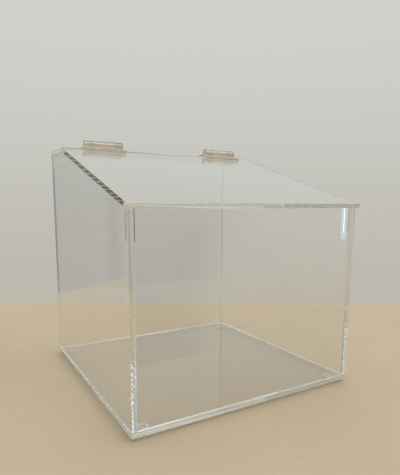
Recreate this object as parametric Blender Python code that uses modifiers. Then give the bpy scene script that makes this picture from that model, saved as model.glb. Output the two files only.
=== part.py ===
"""Clear acrylic display case: a box of cemented sheet with a flat rear ledge and a sloping hinged lid.

Metres, +Z up. The front faces -Y, X runs left to right, and the feet stand on Z = 0.
"""

import math

import bpy
from mathutils import Matrix, Vector

MM = 0.001
WELD = 0.01 * MM  # points closer than this become one

# Sheet and clearances
SHEET = 5.6 * MM  # quarter-inch cast acrylic
CLEARANCE = 0.3 * MM  # between pieces that are cemented, glued or resting on each other
ARRIS = 0.35 * MM  # the broken edge of a saw-cut, polished sheet
SHARP_ANGLE = math.radians(30)  # edges that turn by more than this are broken

# The case, measured from the underside of its base
CASE_WIDTH = 304.8 * MM
CASE_DEPTH = 299.0 * MM
CASE_HEIGHT = 304.8 * MM
LEDGE_DEPTH = 68.0 * MM
LID_SLOPE = math.radians(17.2)
LID_SIDE_OVERHANG = 2.4 * MM
LID_FRONT_OVERHANG = 5.0 * MM
LID_REAR_CLEARANCE = 0.4 * MM

# Short strips that stand in the two front top corners
BAR_LENGTH = 31.0 * MM
BAR_THICKNESS = 3.0 * MM  # across the case
BAR_WIDTH = 6.4 * MM  # along the side wall

# Moulded butt hinges
HINGE_LENGTH = 55.5 * MM
HINGE_INSET = 28.5 * MM
LEAF_START = 0.4 * MM  # from the hinge axis to the near edge of a leaf's plate
LEAF_REACH = 21.0 * MM  # from the hinge axis to the free edge of a leaf
LEAF_THICKNESS = 3.0 * MM
LEAF_CORNER = 2.5 * MM
LEAF_NOTCH_RADIUS = 1.5 * MM
LEAF_ARRIS = 0.4 * MM
LEAF_SIDE_STEP = 0.5 * MM  # between the side of a knuckle and the side of the plate under it
AXIS_HEIGHT = 6.2 * MM  # the axis above the surface that a leaf is glued to
KNUCKLE_RADIUS = 4.75 * MM
KNUCKLE_RELIEF = 0.7 * MM  # between a knuckle and the leaf it turns past
END_KNUCKLE = 11.4 * MM
BORE_RADIUS = 1.9 * MM
PIN_RADIUS = 1.6 * MM
PIN_LENGTH = 54.9 * MM
PIN_CHAMFER = 0.25 * MM
CUT_MARGIN = 1.0 * MM  # how far a cutter reaches past what it cuts

# Stick-on bumper feet
FOOT_RADIUS = 6.35 * MM
FOOT_FLAT_RADIUS = 4.3 * MM
FOOT_HEIGHT = 3.0 * MM
FOOT_NOSE_HEIGHT = 1.86 * MM  # of the rounded lower part
FOOT_LIP = 0.15 * MM  # chamfer round the glued top
FOOT_INSET_X = 18.0 * MM
FOOT_INSET_Y = 17.0 * MM

ROUND_STEPS = 48
ARC_STEPS = 6  # to a quarter turn of a small radius

# Derived positions
HALF_WIDTH = CASE_WIDTH / 2
FRONT = -(CASE_DEPTH - LID_FRONT_OVERHANG) / 2  # outer face of the front wall
BACK = FRONT + CASE_DEPTH
RIDGE = BACK - LEDGE_DEPTH
BASE_BOTTOM = FOOT_HEIGHT + CLEARANCE
BASE_TOP = BASE_BOTTOM + SHEET
WALL_BOTTOM = BASE_TOP + CLEARANCE
LEDGE_TOP = BASE_BOTTOM + CASE_HEIGHT
LEDGE_BOTTOM = LEDGE_TOP - SHEET
WALL_TOP = LEDGE_BOTTOM - CLEARANCE
SLOPE_DROP = (SHEET + CLEARANCE) / math.cos(LID_SLOPE)  # lid's upper plane to the wall tops, upright
AXIS_Y = RIDGE - AXIS_HEIGHT * math.tan(LID_SLOPE / 2)  # as far from the lid's plane as from the ledge
AXIS_Z = LEDGE_TOP + AXIS_HEIGHT

PIECES = "acrylic_display_cube"
CUTTERS = "cutters"


def clear_scene():
    for obj in list(bpy.data.objects):
        bpy.data.objects.remove(obj, do_unlink=True)
    for collection in list(bpy.data.collections):
        bpy.data.collections.remove(collection)


def make_collections():
    for name in (PIECES, CUTTERS):
        collection = bpy.data.collections.new(name)
        bpy.context.scene.collection.children.link(collection)
    bpy.data.collections[CUTTERS].hide_render = True


def plastic(name, colour, roughness, transmission=1.0, ior=1.49):
    material = bpy.data.materials.new(name)
    material.use_nodes = True
    shader = material.node_tree.nodes["Principled BSDF"]
    shader.inputs["Base Color"].default_value = (*colour, 1.0)
    shader.inputs["Roughness"].default_value = roughness
    shader.inputs["Metallic"].default_value = 0.0
    shader.inputs["Transmission Weight"].default_value = transmission
    shader.inputs["IOR"].default_value = ior
    return material


def acrylic_sheet(name, colour=(0.95, 0.96, 0.955), roughness=0.03):
    """Water-clear cast sheet with polished faces."""
    return plastic(name, colour, roughness)


def hinge_plastic(name):
    """Moulded clear plastic, a little warmer and softer than the sheet."""
    return plastic(name, (0.86, 0.83, 0.79), 0.12)


def bumper_rubber(name):
    """Clear soft polyurethane."""
    return plastic(name, (0.90, 0.90, 0.88), 0.22, transmission=0.9, ior=1.50)


def file_under(obj, name, material, collection=PIECES):
    obj.name = name
    obj.data.name = name
    for owner in list(obj.users_collection):
        owner.objects.unlink(obj)
    bpy.data.collections[collection].objects.link(obj)
    obj.data.materials.clear()
    if material is not None:
        obj.data.materials.append(material)
    return obj


def as_cutter(obj, name):
    file_under(obj, name, None, CUTTERS)
    obj.hide_render = True
    obj.display_type = "WIRE"
    return obj


def break_edges(obj, width, segments=2):
    bevel = obj.modifiers.new("broken_edges", "BEVEL")
    bevel.width = width
    bevel.segments = segments
    bevel.limit_method = "ANGLE"
    bevel.angle_limit = SHARP_ANGLE


def block(size, centre, origin=(0.0, 0.0, 0.0)):
    """A box of this size about this centre, with the object's origin left at origin."""
    local = Vector(centre) - Vector(origin)
    bpy.ops.mesh.primitive_cube_add(size=1.0)
    obj = bpy.context.active_object
    obj.data.transform(Matrix.Translation(local) @ Matrix.Diagonal((*size, 1.0)))
    obj.location = origin
    return obj


def span(name, low, high, material):
    """A flat panel between two opposite corners, its origin at its middle."""
    size = [h - l for l, h in zip(low, high)]
    middle = [(l + h) / 2 for l, h in zip(low, high)]
    obj = block(size, middle, origin=middle)
    file_under(obj, name, material)
    break_edges(obj, ARRIS)


def outline(name, points, thickness):
    """A closed flat outline, thickened evenly about its own plane."""
    curve = bpy.data.curves.new(name, "CURVE")
    curve.dimensions = "2D"
    curve.fill_mode = "BOTH"
    curve.extrude = thickness / 2
    spline = curve.splines.new("POLY")
    spline.points.add(len(points) - 1)
    for point, (x, y) in zip(spline.points, points):
        point.co = (x, y, 0.0, 1.0)
    spline.use_cyclic_u = True
    obj = bpy.data.objects.new(name, curve)
    bpy.context.scene.collection.objects.link(obj)
    return obj


def welded(obj):
    weld = obj.modifiers.new("weld", "WELD")
    weld.merge_threshold = WELD
    return obj


def as_mesh(obj):
    """The same shape as a plain mesh object, so that a Boolean can take it."""
    bpy.context.view_layer.update()
    graph = bpy.context.evaluated_depsgraph_get()
    mesh = bpy.data.meshes.new_from_object(obj.evaluated_get(graph))
    made = bpy.data.objects.new(obj.name + "_mesh", mesh)
    made.matrix_world = obj.matrix_world.copy()
    bpy.context.scene.collection.objects.link(made)
    curve = obj.data
    bpy.data.objects.remove(obj, do_unlink=True)
    bpy.data.curves.remove(curve)
    return made


def slope_height(y):
    """Height of the wall tops under the lid, at this depth."""
    return LEDGE_TOP - SLOPE_DROP - (RIDGE - y) * math.tan(LID_SLOPE)


def base_panel():
    low = (-HALF_WIDTH, FRONT, BASE_BOTTOM)
    high = (HALF_WIDTH, BACK, BASE_TOP)
    span("base_panel", low, high, acrylic_sheet("base_sheet"))


def side_panel(name, x_outer, x_inner):
    """A side wall: square at the bottom and back, with the slope of the lid along its top."""
    corner_y = RIDGE + (WALL_TOP - slope_height(RIDGE)) / math.tan(LID_SLOPE)
    points = [
        (FRONT, WALL_BOTTOM),
        (BACK, WALL_BOTTOM),
        (BACK, WALL_TOP),
        (corner_y, WALL_TOP),
        (FRONT, slope_height(FRONT)),
    ]
    middle = Vector(((x_outer + x_inner) / 2, (FRONT + BACK) / 2, (WALL_BOTTOM + WALL_TOP) / 2))
    local = [(y - middle.y, z - middle.z) for y, z in points]
    obj = welded(outline(name, local, SHEET))
    obj.rotation_euler = (math.pi / 2, 0.0, math.pi / 2)
    obj.location = middle
    file_under(obj, name, acrylic_sheet(name + "_sheet"))
    break_edges(obj, ARRIS)


def inner_half_width():
    return HALF_WIDTH - SHEET


def front_panel():
    """The low front wall, set between the side walls."""
    x = inner_half_width() - CLEARANCE
    low = (-x, FRONT, WALL_BOTTOM)
    high = (x, FRONT + SHEET, slope_height(FRONT))
    span("front_panel", low, high, acrylic_sheet("front_sheet"))


def back_panel():
    x = inner_half_width() - CLEARANCE
    low = (-x, BACK - SHEET, WALL_BOTTOM)
    high = (x, BACK, WALL_TOP)
    span("back_panel", low, high, acrylic_sheet("back_sheet"))


def top_ledge():
    """The fixed strip that lies along the back, on the side and back walls."""
    low = (-HALF_WIDTH, RIDGE, LEDGE_BOTTOM)
    high = (HALF_WIDTH, BACK, LEDGE_TOP)
    span("top_ledge", low, high, acrylic_sheet("ledge_sheet"))


def corner_bar(name, side):
    """A short strip in a front top corner, against the front and side walls."""
    near = side * (inner_half_width() - CLEARANCE)
    far = near - side * BAR_THICKNESS
    y = FRONT + SHEET + CLEARANCE
    top = slope_height(FRONT) - CLEARANCE
    low = (min(near, far), y, top - BAR_LENGTH)
    high = (max(near, far), y + BAR_WIDTH, top)
    span(name, low, high, acrylic_sheet(name + "_acrylic", roughness=0.06))


def lid_panel():
    """The sloping lid. It is built flat about the hinge axis, then laid on the slope."""
    sine = math.sin(LID_SLOPE)
    cosine = math.cos(LID_SLOPE)
    ridge_reach = (RIDGE - AXIS_Y) * cosine - AXIS_HEIGHT * sine  # the ridge, measured along the lid
    rear = ridge_reach - (LID_REAR_CLEARANCE + SHEET * sine) / cosine
    front_y = FRONT - LID_FRONT_OVERHANG
    front = (front_y - AXIS_Y) / cosine - AXIS_HEIGHT * sine / cosine
    size = (CASE_WIDTH + 2 * LID_SIDE_OVERHANG, rear - front, SHEET)
    centre = (0.0, (rear + front) / 2, -AXIS_HEIGHT - SHEET / 2)
    obj = block(size, centre)
    obj.location = (0.0, AXIS_Y, AXIS_Z)
    obj.rotation_euler = (LID_SLOPE, 0.0, 0.0)
    file_under(obj, "lid_panel", acrylic_sheet("lid_sheet"))
    break_edges(obj, ARRIS)


def arc(centre, radius, start, stop):
    """Points round part of a circle, between two angles in degrees."""
    steps = round(ARC_STEPS * abs(stop - start) / 90)
    found = []
    for i in range(steps + 1):
        angle = math.radians(start + (stop - start) * i / steps)
        found.append((centre[0] + radius * math.cos(angle), centre[1] + radius * math.sin(angle)))
    return found


def knuckle_spans(outer):
    """The stretches of the hinge's length that one leaf's knuckles take."""
    half = HINGE_LENGTH / 2
    middle = half - END_KNUCKLE
    if not outer:
        return [(-middle + CLEARANCE, middle - CLEARANCE)]
    return [(-half + LEAF_SIDE_STEP, -middle), (middle, half - LEAF_SIDE_STEP)]


def relief_spans(outer):
    """The stretches of a leaf that are set back from the other leaf's knuckles."""
    half = HINGE_LENGTH / 2
    beyond = half + CUT_MARGIN
    own = knuckle_spans(outer)
    if outer:
        return [(own[0][1] - LEAF_SIDE_STEP, own[1][0] + LEAF_SIDE_STEP)]
    low, high = own[0]
    return [(-beyond, low + LEAF_SIDE_STEP), (high - LEAF_SIDE_STEP, beyond)]


def leaf_points():
    """A leaf seen from above: rounded free corners and a small central notch in the free edge."""
    half = HINGE_LENGTH / 2
    r = LEAF_CORNER
    points = arc((half - r, LEAF_REACH - r), r, 0, 90)
    points += arc((0.0, LEAF_REACH), LEAF_NOTCH_RADIUS, 0, -180)
    points += arc((-half + r, LEAF_REACH - r), r, 90, 180)
    points += [(-half, LEAF_START), (half, LEAF_START)]
    return points


def rod(name, radius, low, high):
    """A round bar along X about the hinge axis, its origin on the axis."""
    bpy.ops.mesh.primitive_cylinder_add(vertices=ROUND_STEPS, radius=radius, depth=high - low)
    obj = bpy.context.active_object
    turn = Matrix.Rotation(math.pi / 2, 4, "Y")
    obj.data.transform(Matrix.Translation(((low + high) / 2, 0.0, 0.0)) @ turn)
    obj.name = name
    return obj


def combine(obj, other, operation):
    boolean = obj.modifiers.new(operation.lower(), "BOOLEAN")
    boolean.operation = operation
    boolean.solver = "EXACT"
    boolean.object = other


def hinge_leaf(name, x, outer, on_lid):
    """One moulded leaf: a flat plate, its knuckles, and the bore through them."""
    plate = outline(name + "_plate", leaf_points(), LEAF_THICKNESS)
    plate.location = (0.0, 0.0, -AXIS_HEIGHT + CLEARANCE + LEAF_THICKNESS / 2)
    welded(plate)
    break_edges(plate, LEAF_ARRIS, segments=1)
    leaf = as_mesh(plate)
    leaf.data.transform(leaf.matrix_world)
    leaf.matrix_world = Matrix.Identity(4)
    if on_lid:
        pose = Matrix.Rotation(LID_SLOPE, 4, "X") @ Matrix.Rotation(math.pi, 4, "Z")
    else:
        pose = Matrix.Identity(4)
    pose = Matrix.Translation((x, AXIS_Y, AXIS_Z)) @ pose
    tools = []
    for i, (low, high) in enumerate(relief_spans(outer)):
        depth = KNUCKLE_RADIUS + KNUCKLE_RELIEF
        relief = block((high - low, 2 * depth, 4 * LEAF_THICKNESS), ((low + high) / 2, 0.0, -AXIS_HEIGHT))
        tools.append((as_cutter(relief, f"{name}_relief_{i}"), "DIFFERENCE"))
    bore = as_cutter(rod(name + "_bore", BORE_RADIUS, -HINGE_LENGTH, HINGE_LENGTH), name + "_bore")
    bore.matrix_world = pose
    for i, (low, high) in enumerate(knuckle_spans(outer)):
        knuckle = as_cutter(rod(name, KNUCKLE_RADIUS, low, high), f"{name}_knuckle_{i}")
        combine(knuckle, bore, "DIFFERENCE")
        tools.append((knuckle, "UNION"))
    for tool, operation in tools:
        tool.matrix_world = pose
        combine(leaf, tool, operation)
    leaf.matrix_world = pose
    file_under(leaf, name, hinge_plastic(name + "_plastic"))


def hinge_pin(name, x):
    pin = rod(name, PIN_RADIUS, -PIN_LENGTH / 2, PIN_LENGTH / 2)
    pin.location = (x, AXIS_Y, AXIS_Z)
    file_under(pin, name, plastic(name + "_rod", (0.82, 0.80, 0.77), 0.10))
    break_edges(pin, PIN_CHAMFER, segments=1)


def hinge(side_name, x):
    hinge_leaf(f"{side_name}_hinge_ledge_leaf", x, outer=True, on_lid=False)
    hinge_leaf(f"{side_name}_hinge_lid_leaf", x, outer=False, on_lid=True)
    hinge_pin(f"{side_name}_hinge_pin", x)


def foot_profile():
    """Half section of a bumper, from the top of its axis to the bottom: a short skirt and a rounded nose."""
    reach = FOOT_RADIUS - FOOT_FLAT_RADIUS
    points = [(0.0, FOOT_HEIGHT), (FOOT_RADIUS - FOOT_LIP, FOOT_HEIGHT)]
    points.append((FOOT_RADIUS, FOOT_HEIGHT - FOOT_LIP))
    for i in range(ARC_STEPS + 1):
        angle = math.radians(90 * i / ARC_STEPS)
        r = FOOT_FLAT_RADIUS + reach * math.cos(angle)
        points.append((r, FOOT_NOSE_HEIGHT * (1 - math.sin(angle))))
    points.append((0.0, 0.0))
    return points


def foot(name, x, y):
    points = foot_profile()
    mesh = bpy.data.meshes.new(name)
    edges = [(i, i + 1) for i in range(len(points) - 1)]
    mesh.from_pydata([(r, 0.0, z) for r, z in points], edges, [])
    obj = bpy.data.objects.new(name, mesh)
    obj.location = (x, y, 0.0)
    file_under(obj, name, bumper_rubber(name + "_polyurethane"))
    screw = obj.modifiers.new("turned", "SCREW")
    screw.axis = "Z"
    screw.steps = ROUND_STEPS
    screw.render_steps = ROUND_STEPS
    screw.use_merge_vertices = True
    screw.merge_threshold = WELD


def feet():
    x = HALF_WIDTH - FOOT_INSET_X
    front = FRONT + FOOT_INSET_Y
    back = BACK - FOOT_INSET_Y
    foot("foot_front_left", -x, front)
    foot("foot_front_right", x, front)
    foot("foot_back_left", -x, back)
    foot("foot_back_right", x, back)


def build():
    clear_scene()
    make_collections()
    base_panel()
    side_panel("left_panel", -HALF_WIDTH, -inner_half_width())
    side_panel("right_panel", HALF_WIDTH, inner_half_width())
    front_panel()
    back_panel()
    top_ledge()
    lid_panel()
    corner_bar("left_corner_bar", -1)
    corner_bar("right_corner_bar", 1)
    hinge_x = HALF_WIDTH - HINGE_INSET - HINGE_LENGTH / 2
    hinge("left", -hinge_x)
    hinge("right", hinge_x)
    feet()


build()
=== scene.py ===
import math
import random
import bmesh
import bpy
from mathutils import Matrix, Vector


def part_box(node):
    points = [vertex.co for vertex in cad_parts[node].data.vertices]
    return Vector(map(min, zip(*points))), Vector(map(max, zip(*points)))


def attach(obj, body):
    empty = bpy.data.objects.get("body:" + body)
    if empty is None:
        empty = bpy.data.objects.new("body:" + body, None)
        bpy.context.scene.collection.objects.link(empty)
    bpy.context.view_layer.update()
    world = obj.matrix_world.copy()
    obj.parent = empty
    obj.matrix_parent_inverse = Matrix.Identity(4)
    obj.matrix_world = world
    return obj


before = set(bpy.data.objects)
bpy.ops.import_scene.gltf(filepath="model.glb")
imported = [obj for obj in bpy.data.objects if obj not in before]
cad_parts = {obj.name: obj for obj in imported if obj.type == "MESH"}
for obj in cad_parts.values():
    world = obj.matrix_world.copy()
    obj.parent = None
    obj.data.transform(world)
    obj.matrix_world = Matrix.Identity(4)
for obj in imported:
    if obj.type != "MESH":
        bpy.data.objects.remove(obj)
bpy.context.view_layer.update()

MM = 0.001


def compass(yaw):
    """The level direction at a yaw in degrees, from +Y towards +X."""
    return Vector((math.sin(math.radians(yaw)), math.cos(math.radians(yaw)), 0))


def spread(outer, inner):
    """Cosines of two angles in degrees, where a patch of the room starts and where it is full."""
    return math.cos(math.radians(outer)), math.cos(math.radians(inner))


# Camera, in the frame's metres
CAMERA_PLACE = Vector((-0.2969, -0.5187, 0.2360))
CAMERA_YAW = 30.36  # degrees from +Y towards +X
CAMERA_PITCH = math.radians(-9.085)
CAMERA_ROLL = math.radians(0.28)
LENS_MM = 32.58
SHIFT = (0.0072, 0.0708)

# Floor: it ends far off square to the camera's view, and near by in front of the case
FLOOR_FAR = 0.996  # from the camera
FLOOR_FRONT = -0.33
FLOOR_LENGTH = 30.0
FLOOR_LIGHT = (0.61, 0.50, 0.345)
FLOOR_DARK = (0.57, 0.46, 0.31)

# Surroundings: each colour is a radiance, each height the z of a direction, each yaw in degrees
WALL_YAW = 42
WALL_SPREAD = spread(54, 38)
WALL_HEIGHTS = (-0.25, 0.4)
WALL_LOW = (0.50, 0.48, 0.425)
WALL_HIGH = (0.63, 0.637, 0.605)
ROOM_WARMTH = (1.0, 0.98, 0.92)
ROOM_SIDES = (
    (-180, 0.09),
    (-140, 0.24),
    (-80, 0.24),
    (-50, 0.44),
    (-21.1, 0.44),
    (-21.0, 0.22),
    (-19.8, 0.22),
    (-19.3, 0.40),
    (90, 0.34),
    (120, 0.58),
    (146, 0.58),
    (156, 0.09),
    (180, 0.09),
)
CURTAIN_YAW = -23.3  # a dark strip of the room, seen in the corner bars
CURTAIN_SPREAD = spread(1.65, 1.45)
CURTAIN_FOOT = (-0.16, -0.12)
CURTAIN_TOP = (0.10, 0.05)
CURTAIN_COLOUR = (0.03, 0.03, 0.027)
CEILING_HEIGHTS = (0.45, 0.85)
CEILING_COLOUR = (0.95, 0.95, 0.93)
SOFTBOX_WAY = Vector((0.5, -0.35, 0.8)).normalized()
SOFTBOX_SPREAD = (0.55, 0.97)
SOFTBOX_COLOUR = (1.5, 1.5, 1.48)
SHADE_YAW = 176  # the unlit end of the room
SHADE_SPREAD = spread(34, 24)
SHADE_TOP = (0.16, -0.02)
SHADE_FOOT = (-0.72, -0.62)
SHADE_COLOUR = (0.035, 0.034, 0.03)
FLOOR_HEIGHTS = (-0.26, -0.33)  # where the floor's colour takes over behind the case
SIDE_FLOOR_HEIGHTS = (-0.08, -0.22)  # and on the other sides
BEHIND_SPREAD = spread(80, 68)
FLOOR_COLOUR = (0.535, 0.447, 0.31)
WINDOW_YAW = 130.8
WINDOW_HEIGHT = -0.04
WINDOW_HALF = 0.033  # half its straight length, as a share of its distance
WINDOW_EDGE = (0.0075, 0.0035)
WINDOW_COLOUR = (1.6, 2.0, 2.6)

LIGHT_BOUNCES = 160
STRAIGHT_BOUNCES = 32

LID_SLOPE = math.radians(17.2)

# Which way each sheet's polished faces look
SHEET_NORMALS = {
    "left_panel": Vector((1, 0, 0)),
    "right_panel": Vector((1, 0, 0)),
    "front_panel": Vector((0, 1, 0)),
    "back_panel": Vector((0, 1, 0)),
    "base_panel": Vector((0, 0, 1)),
    "top_ledge": Vector((0, 0, 1)),
    "lid_panel": Vector((0, -math.sin(LID_SLOPE), math.cos(LID_SLOPE))),
    "left_corner_bar": Vector((0, 0, 1)),
    "right_corner_bar": Vector((0, 0, 1)),
}
PLASTIC_IOR = 1.49

# Acrylic sheet; a count or a scale is to the metre, a shade is the light that passes a face
CLEAR = (0.99, 0.99, 0.985)
WIPED = (0.965, 0.965, 0.95)
ACRYLIC_TINT = (0.92, 0.95, 0.93)
ACRYLIC_DENSITY = 3.0
FACE_SHADE = (0.965, 0.965, 0.96)
BASE_SHADE = (0.85, 0.85, 0.84)
EDGE_SHADE = (0.35, 0.34, 0.32)
EDGE_FACING = (0.98, 0.90)  # a face that looks this far from the sheet's normal is a cut edge
POLISHED_EDGE = 0.02  # roughness of a cut edge
SAWN_EDGE = 0.14
SMEAR_SCALE = 9.0
SMEAR_ROUGHNESS = 0.03
MARK_ROUGHNESS = 0.06
SCRATCH_TURN = (0.5, 0.9, 0.2)
SCRATCH_COUNT = 420.0
DUST_COUNT = 240.0
DUST_SIZE = 0.09  # as a share of the space between specks
WAVE_SCALE = 6.0
SHEET_WAVE = 0.12 * MM  # how far a cast sheet's faces stray from flat
PATCH_SCALE = 14.0  # of the stretches where an edge is rippled
RIPPLE_SCALE = 240.0
EDGE_RIPPLE = 0.006 * MM

# Hinges
HINGE_PALE = (0.92, 0.89, 0.85)
HINGE_DEEP = (0.86, 0.82, 0.77)
HINGE_TINT = (0.72, 0.66, 0.58)
HINGE_DENSITY = 45.0
HINGE_SHADE = (0.80, 0.78, 0.74)
HINGE_ROUGHNESS = (0.34, 0.46)
FLOW_SCALE = (40.0, 260.0, 260.0)
FLOW_HEIGHT = 0.06 * MM
KNUCKLE_RINGS = 11.4 * MM  # the length at one end of each hinge that gets painted dark rings
RING_PITCH = 3.7 * MM
# Painted shade: dark rings stand in for the shade of the ribs on a barrel's end knuckle
RING_PAINTED_SHADE = (0.42, 0.43, 0.38)

# Bumper feet
BUMPER_CLARITY = 0.35
# Painted light: a lighter rim and a greyer middle stand in for the ring of light a clear domed foot shows
BUMPER_MIDDLE_SHADE = (0.66, 0.65, 0.60)
BUMPER_RIM_LIGHT = (0.97, 0.97, 0.95)
BUMPER_RIM_START = (0.50, 0.72)  # where the painted light of the rim starts and where it is full, as shares of the foot's radius
BUMPER_TINT = (0.85, 0.84, 0.78)
BUMPER_DENSITY = 30.0
BUMPER_SHADE = (0.70, 0.70, 0.68)
BUMPER_ROUGHNESS = (0.22, 0.40)
BUMPER_DUST = (0.55, 0.52, 0.46)

# Beads of dried cement: the radii of two kinds, and what they look like
SEAM_BEAD_RADIUS = (1.1 * MM, 1.6 * MM)
POST_BEAD_RADIUS = (0.7 * MM, 1.3 * MM)
BEAD_FLATNESS = 0.35
BEAD_PALE = (0.97, 0.97, 0.95)
BEAD_DULL = (0.86, 0.86, 0.83)
BEAD_PAINTED_GLOW = 0.40  # painted glow: an even emission that stands for the light the sheet pipes into a bead
POST_BEADS_RISE = 75 * MM  # how far up the front posts they reach
POST_BEADS_INSET = 1.2 * MM  # from the outer face of the left side


class Nodes:
    """A node tree with short calls for adding and joining nodes."""

    def __init__(self, tree):
        self.tree = tree
        self.tree.nodes.clear()

    def add(self, kind, settings=None, **inputs):
        node = self.tree.nodes.new(kind)
        for key, value in (settings or {}).items():
            setattr(node, key, value)
        for key, value in inputs.items():
            self.feed(node.inputs[key.replace("_", " ")], value)
        return node

    def feed(self, socket, value):
        if isinstance(value, bpy.types.NodeSocket):
            self.tree.links.new(value, socket)
        else:
            socket.default_value = value

    def maths(self, operation, *values):
        node = self.add("ShaderNodeMath", {"operation": operation})
        for socket, value in zip(node.inputs, values):
            self.feed(socket, value)
        return node.outputs[0]

    def product(self, *values):
        total = values[0]
        for value in values[1:]:
            total = self.maths("MULTIPLY", total, value)
        return total

    def vector(self, operation, *values):
        node = self.add("ShaderNodeVectorMath", {"operation": operation})
        for socket, value in zip(node.inputs, values):
            self.feed(socket, value)
        return node.outputs["Value" if operation == "DOT_PRODUCT" else "Vector"]

    def mix(self, share, first, second):
        node = self.add("ShaderNodeMix", {"data_type": "RGBA"}, Factor=share)
        for socket, value in ((node.inputs[6], first), (node.inputs[7], second)):
            self.feed(socket, value if isinstance(value, bpy.types.NodeSocket) else (*value, 1))
        return node.outputs[2]

    def ramp(self, value, low, high, out_low=0.0, out_high=1.0):
        node = self.add("ShaderNodeMapRange", {"interpolation_type": "SMOOTHSTEP"}, Value=value)
        for key, number in zip(("From Min", "From Max", "To Min", "To Max"), (low, high, out_low, out_high)):
            node.inputs[key].default_value = number
        return node.outputs["Result"]

    def noise(self, place, scale, detail=2.0):
        return self.add("ShaderNodeTexNoise", Vector=place, Scale=scale, Detail=detail).outputs["Fac"]

    def specks(self, place, scale, size):
        """Small round dots, each at a random place in its own cell, `scale` cells to the metre."""
        cells = self.add("ShaderNodeTexVoronoi", Vector=place, Scale=scale)
        return self.ramp(cells.outputs["Distance"], size, size * 0.5)

    def scratches(self, place, turn, count):
        """Fine nearly parallel streaks, `count` of them to the metre."""
        turned = self.add("ShaderNodeMapping", Vector=place, Rotation=turn, Scale=(2.0, 2.0, count))
        return self.ramp(self.noise(turned.outputs[0], 1.0, 3.0), 0.66, 0.74)

    def bump(self, height):
        return self.add("ShaderNodeBump", Strength=1.0, Distance=1.0, Height=height).outputs[0]


def material(name):
    """A new material and its node tree."""
    made = bpy.data.materials.new(name)
    made.use_nodes = True
    return made, Nodes(made.node_tree)


def see_through(n, shader, shade, tint, density):
    """Ends a clear material: light for lit surfaces goes straight on, a little weakened."""
    path = n.add("ShaderNodeLightPath")
    straight = n.add("ShaderNodeBsdfTransparent", Color=shade).outputs[0]
    surface = shader.outputs[0]
    for kind in ("Is Diffuse Ray", "Is Shadow Ray"):
        mix = n.add("ShaderNodeMixShader", Fac=path.outputs[kind])
        n.feed(mix.inputs[1], surface)
        n.feed(mix.inputs[2], straight)
        surface = mix.outputs[0]
    body = n.add("ShaderNodeVolumeAbsorption", Color=(*tint, 1), Density=density).outputs[0]
    n.add("ShaderNodeOutputMaterial", Surface=surface, Volume=body)


def clear_plastic(n, transmission=1.0):
    """The shader that the sheets, the hinges and the feet share."""
    shader = n.add("ShaderNodeBsdfPrincipled", IOR=PLASTIC_IOR)
    shader.inputs["Transmission Weight"].default_value = transmission
    return shader


def acrylic(name, normal, shade=FACE_SHADE, edge_roughness=POLISHED_EDGE):
    """Polished sheet with wiped smears, dust and scratches; its cut edges are rippled."""
    made, n = material(name)
    place = n.add("ShaderNodeTexCoord")
    spot = place.outputs["Object"]
    facing = n.vector("DOT_PRODUCT", place.outputs["Normal"], normal)
    edge = n.ramp(n.maths("ABSOLUTE", facing), *EDGE_FACING)
    face = n.maths("SUBTRACT", 1.0, edge)
    smear = n.ramp(n.noise(spot, SMEAR_SCALE, 4.0), 0.50, 0.80)
    marks = n.scratches(spot, SCRATCH_TURN, SCRATCH_COUNT)
    marks = n.maths("MAXIMUM", marks, n.specks(spot, DUST_COUNT, DUST_SIZE))
    wave = n.product(n.noise(spot, WAVE_SCALE, 1.0), face, SHEET_WAVE)
    patch = n.ramp(n.noise(spot, PATCH_SCALE, 1.0), 0.40, 0.65, 0.15, 1.0)
    ripple = n.product(n.noise(spot, RIPPLE_SCALE, 2.0), edge, patch, EDGE_RIPPLE)
    rough = n.maths("ADD", n.product(smear, SMEAR_ROUGHNESS), n.product(marks, face, MARK_ROUGHNESS))
    rough = n.maths("ADD", rough, n.product(edge, edge_roughness))
    shader = clear_plastic(n)
    n.feed(shader.inputs["Base Color"], n.mix(n.maths("MAXIMUM", smear, marks), CLEAR, WIPED))
    n.feed(shader.inputs["Roughness"], rough)
    n.feed(shader.inputs["Normal"], n.bump(n.maths("ADD", wave, ripple)))
    see_through(n, shader, n.mix(edge, shade, EDGE_SHADE), ACRYLIC_TINT, ACRYLIC_DENSITY)
    return made


def hinge_plastic(name, end=None):
    """Moulded clear plastic, warm in tint, with flow marks, and painted shade: dark rings where its barrel
    has an end.
    """
    made, n = material(name)
    spot = n.add("ShaderNodeTexCoord").outputs["Object"]
    flow = n.noise(n.vector("MULTIPLY", spot, FLOW_SCALE), 1.0, 3.0)
    colour = n.mix(n.ramp(flow, 0.35, 0.70), HINGE_PALE, HINGE_DEEP)
    if end is not None:
        along = n.add("ShaderNodeSeparateXYZ", Vector=spot).outputs["X"]
        # painted shade: dark rings across the end knuckle, for the shade of its ribs
        turns = n.product(n.maths("SUBTRACT", along, end), math.pi / RING_PITCH)
        rings = n.ramp(n.maths("ABSOLUTE", n.maths("SINE", turns)), 0.55, 0.15)
        ringed = n.ramp(along, end - KNUCKLE_RINGS, end - KNUCKLE_RINGS + RING_PITCH / 4)
        colour = n.mix(n.product(rings, ringed), colour, RING_PAINTED_SHADE)
    shader = clear_plastic(n)
    n.feed(shader.inputs["Base Color"], colour)
    n.feed(shader.inputs["Roughness"], n.ramp(n.noise(spot, 500.0, 3.0), 0.35, 0.70, *HINGE_ROUGHNESS))
    n.feed(shader.inputs["Normal"], n.bump(n.product(flow, FLOW_HEIGHT)))
    see_through(n, shader, (*HINGE_SHADE, 1), HINGE_TINT, HINGE_DENSITY)
    return made


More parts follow.
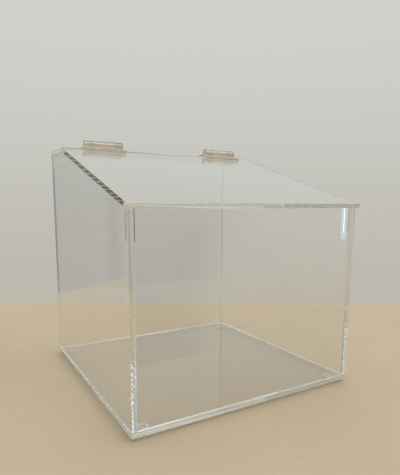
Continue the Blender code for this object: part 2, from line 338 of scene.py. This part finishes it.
def bumper_rubber(name, box):
    """Clear soft polyurethane, a little dusty, with painted light: lighter towards its rim and greyer in the
    middle, for the ring of light a clear domed foot shows.
    """
    made, n = material(name)
    spot = n.add("ShaderNodeTexCoord").outputs["Object"]
    middle = (box[0] + box[1]) / 2
    radius = (box[1][0] - box[0][0]) / 2
    out = n.vector("MULTIPLY", n.vector("SUBTRACT", spot, middle), (1, 1, 0))
    out = n.maths("SQRT", n.vector("DOT_PRODUCT", out, out))
    # painted light: the foot turns lighter towards its rim
    rim = n.ramp(out, *(radius * share for share in BUMPER_RIM_START))
    dust = n.product(n.specks(spot, 700.0, 0.12), 0.3)
    colour = n.mix(rim, BUMPER_MIDDLE_SHADE, BUMPER_RIM_LIGHT)
    shader = clear_plastic(n, BUMPER_CLARITY)
    n.feed(shader.inputs["Base Color"], n.mix(dust, colour, BUMPER_DUST))
    n.feed(shader.inputs["Roughness"], n.ramp(n.noise(spot, 700.0, 3.0), 0.3, 0.7, *BUMPER_ROUGHNESS))
    n.feed(shader.inputs["Normal"], n.bump(n.product(n.noise(spot, 200.0, 2.0), 0.03 * MM)))
    see_through(n, shader, (*BUMPER_SHADE, 1), BUMPER_TINT, BUMPER_DENSITY)
    return made


def cement_white(name):
    """Dried solvent cement full of air, with a painted glow: an even emission stands for the light the sheet
    pipes into it.
    """
    made, n = material(name)
    spot = n.add("ShaderNodeTexCoord").outputs["Object"]
    shader = n.add("ShaderNodeBsdfPrincipled", IOR=PLASTIC_IOR)
    # painted glow: the beads emit light, though they are no lamp
    shader.inputs["Emission Color"].default_value = (*BEAD_PALE, 1)
    shader.inputs["Emission Strength"].default_value = BEAD_PAINTED_GLOW
    n.feed(shader.inputs["Base Color"], n.mix(n.noise(spot, 800.0, 2.0), BEAD_PALE, BEAD_DULL))
    n.feed(shader.inputs["Roughness"], n.ramp(n.noise(spot, 400.0, 2.0), 0.3, 0.7, 0.15, 0.35))
    n.add("ShaderNodeOutputMaterial", Surface=shader.outputs[0])
    return made


def floor_material():
    """Pale, faintly clouded board."""
    made, n = material("pale_floor")
    spot = n.add("ShaderNodeTexCoord").outputs["Object"]
    shader = n.add("ShaderNodeBsdfPrincipled")
    cloud = n.maths("ADD", n.product(n.noise(spot, 3.0, 4.0), 0.7), n.product(n.noise(spot, 180.0, 2.0), 0.3))
    n.feed(shader.inputs["Base Color"], n.mix(n.ramp(cloud, 0.35, 0.65), FLOOR_LIGHT, FLOOR_DARK))
    n.feed(shader.inputs["Roughness"], n.ramp(cloud, 0.3, 0.7, 0.45, 0.60))
    n.add("ShaderNodeOutputMaterial", Surface=shader.outputs[0])
    return made


def dress():
    """Gives each solid of the frame its own material."""
    for node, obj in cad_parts.items():
        if node == "base_panel":
            made = acrylic(node + "_acrylic", SHEET_NORMALS[node], BASE_SHADE, SAWN_EDGE)
        elif node in SHEET_NORMALS:
            made = acrylic(node + "_acrylic", SHEET_NORMALS[node])
        elif "ledge_leaf" in node:
            made = hinge_plastic(node + "_plastic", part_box(node)[1][0])
        elif "hinge" in node:
            made = hinge_plastic(node + "_plastic")
        else:
            made = bumper_rubber(node + "_rubber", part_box(node))
        obj.material_slots[0].material = made


def add_beads(name, low, high, flat, radii, count, seed):
    """A row of dried drops of cement and air, squashed along one axis, from low to high."""
    chance = random.Random(seed)
    bm = bmesh.new()
    for index in range(count):
        radius = chance.uniform(*radii)
        sizes = [radius * chance.uniform(0.85, 1.15) for _ in range(3)]
        sizes[flat] = radius * BEAD_FLATNESS
        place = low.lerp(high, (index + chance.uniform(0.3, 0.7)) / count)
        pose = Matrix.Translation(place) @ Matrix.Diagonal((*sizes, 1))
        bmesh.ops.create_icosphere(bm, subdivisions=2, radius=1.0, matrix=pose)
    mesh = bpy.data.meshes.new(name)
    bm.to_mesh(mesh)
    bm.free()
    for polygon in mesh.polygons:
        polygon.use_smooth = True
    mesh.materials.append(cement_white(name + "_cement"))
    obj = bpy.data.objects.new(name, mesh)
    bpy.context.collection.objects.link(obj)
    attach(obj, "case")


def cement_beads():
    """Beads along the outer seam of the base, and low on the two front posts."""
    left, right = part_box("left_panel"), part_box("right_panel")
    base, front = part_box("base_panel"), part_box("front_panel")
    seam = (base[1][2] + left[0][2]) / 2
    side, face = left[0][0], front[0][1]
    middle = (left[0][1] + left[1][1]) / 2
    rear, half, near = [Vector((side, y, seam)) for y in (left[1][1], middle, left[0][1])]
    add_beads("left_seam_beads_rear", rear, half, 0, SEAM_BEAD_RADIUS, 19, 3)
    add_beads("left_seam_beads_front", half, near, 0, POST_BEAD_RADIUS, 9, 4)
    top = front[0][2] + POST_BEADS_RISE
    left_post = side + POST_BEADS_INSET
    right_post = (front[1][0] + right[0][0]) / 2
    for name, post, count, seed in (("left", left_post, 15, 5), ("right", right_post, 9, 8)):
        foot, head = Vector((post, face, seam)), Vector((post, face, top))
        add_beads(name + "_post_beads", foot, head, 1, POST_BEAD_RADIUS, count, seed)


def add_floor():
    """A flat wedge: its far side lies square to the camera, its near side along the case."""
    ahead = compass(CAMERA_YAW)
    aside = compass(CAMERA_YAW + 90)
    far = CAMERA_PLACE.xy.to_3d() + ahead * FLOOR_FAR
    tip = far + aside * (far.y - FLOOR_FRONT) / -aside.y
    corners = [tip, far - aside * FLOOR_LENGTH, Vector((-FLOOR_LENGTH, FLOOR_FRONT, 0))]
    mesh = bpy.data.meshes.new("floor")
    mesh.from_pydata(corners, [], [range(len(corners))])
    mesh.materials.append(floor_material())
    floor = bpy.data.objects.new("floor", mesh)
    bpy.context.collection.objects.link(floor)


def window_mask(n, way, height):
    """A tall narrow window with round ends."""
    across = n.vector("DOT_PRODUCT", way, compass(WINDOW_YAW + 90))
    beyond = n.maths("SUBTRACT", n.maths("ABSOLUTE", n.maths("SUBTRACT", height, WINDOW_HEIGHT)), WINDOW_HALF)
    beyond = n.maths("MAXIMUM", beyond, 0.0)
    away = n.maths("SQRT", n.maths("ADD", n.product(across, across), n.product(beyond, beyond)))
    ahead = n.ramp(n.vector("DOT_PRODUCT", way, compass(WINDOW_YAW)), 0.0, 0.5)
    return n.product(n.ramp(away, *WINDOW_EDGE), ahead)


def room_sides(n, way):
    """How bright the room is on each side, from the yaw of a direction."""
    parts = n.add("ShaderNodeSeparateXYZ", Vector=way).outputs
    yaw = n.maths("ARCTAN2", parts["X"], parts["Y"])
    share = n.maths("ADD", n.maths("DIVIDE", yaw, 2 * math.pi), 0.5)
    sides = n.add("ShaderNodeValToRGB", Fac=share)
    stops = sides.color_ramp.elements
    while len(stops) < len(ROOM_SIDES):
        stops.new(1.0)
    for stop, (angle, radiance) in zip(stops, ROOM_SIDES):
        stop.position = (angle + 180) / 360
        stop.color = (*(radiance * warmth for warmth in ROOM_WARMTH), 1)
    return sides.outputs["Color"]


def toward(n, level, yaw, spread_cosines):
    """1 for the directions near a yaw, fading to 0 past them."""
    return n.ramp(n.vector("DOT_PRODUCT", level, compass(yaw)), *spread_cosines)


def add_world():
    """The room round the case, as a radiance for each direction."""
    world = bpy.data.worlds.new("studio")
    bpy.context.scene.world = world
    world.use_nodes = True
    world.cycles.sampling_method = "MANUAL"
    world.cycles.sample_map_resolution = 256
    n = Nodes(world.node_tree)
    way = n.add("ShaderNodeTexCoord").outputs["Generated"]
    level = n.vector("NORMALIZE", n.vector("MULTIPLY", way, (1, 1, 0)))
    height = n.add("ShaderNodeSeparateXYZ", Vector=way).outputs["Z"]
    wall = toward(n, level, WALL_YAW, WALL_SPREAD)
    curtain = toward(n, level, CURTAIN_YAW, CURTAIN_SPREAD)
    curtain = n.product(curtain, n.ramp(height, *CURTAIN_FOOT), n.ramp(height, *CURTAIN_TOP))
    shade = n.product(toward(n, level, SHADE_YAW, SHADE_SPREAD), n.ramp(height, *SHADE_FOOT))
    behind = toward(n, level, WALL_YAW, BEHIND_SPREAD)
    beside = n.product(n.ramp(height, *SIDE_FLOOR_HEIGHTS), n.maths("SUBTRACT", 1.0, behind))
    floor = n.maths("MAXIMUM", n.ramp(height, *FLOOR_HEIGHTS), beside)
    floor = n.product(floor, n.maths("SUBTRACT", 1.0, shade))
    colour = n.mix(n.ramp(height, *WALL_HEIGHTS), WALL_LOW, WALL_HIGH)
    colour = n.mix(wall, room_sides(n, way), colour)
    colour = n.mix(curtain, colour, CURTAIN_COLOUR)
    colour = n.mix(n.ramp(height, *CEILING_HEIGHTS), colour, CEILING_COLOUR)
    glow = n.ramp(n.vector("DOT_PRODUCT", way, SOFTBOX_WAY), *SOFTBOX_SPREAD)
    colour = n.mix(glow, colour, SOFTBOX_COLOUR)
    colour = n.mix(n.product(shade, n.ramp(height, *SHADE_TOP)), colour, SHADE_COLOUR)
    colour = n.mix(floor, colour, FLOOR_COLOUR)
    colour = n.mix(window_mask(n, way, height), colour, WINDOW_COLOUR)
    sky = n.add("ShaderNodeBackground", Color=colour, Strength=1.0)
    n.add("ShaderNodeOutputWorld", Surface=sky.outputs[0])


def add_camera():
    """A low view of the front and the left side."""
    data = bpy.data.cameras.new("camera")
    data.lens = LENS_MM
    data.shift_x, data.shift_y = SHIFT
    camera = bpy.data.objects.new("camera", data)
    bpy.context.collection.objects.link(camera)
    camera.location = CAMERA_PLACE
    turn = Matrix.Rotation(-math.radians(CAMERA_YAW), 3, "Z")
    lift = Matrix.Rotation(math.pi / 2 + CAMERA_PITCH, 3, "X")
    roll = Matrix.Rotation(CAMERA_ROLL, 3, "Z")
    camera.rotation_euler = (turn @ lift @ roll).to_euler()
    bpy.context.scene.camera = camera


def set_light_paths():
    """Light runs a long way along a sheet by inner reflection, so it needs many bounces."""
    scene = bpy.context.scene
    scene.view_settings.view_transform = "Standard"
    scene.cycles.max_bounces = LIGHT_BOUNCES
    scene.cycles.transmission_bounces = LIGHT_BOUNCES
    scene.cycles.glossy_bounces = LIGHT_BOUNCES
    scene.cycles.transparent_max_bounces = STRAIGHT_BOUNCES
    scene.cycles.caustics_refractive = False
    scene.cycles.caustics_reflective = False


dress()
cement_beads()
add_floor()
add_world()
add_camera()
set_light_paths()
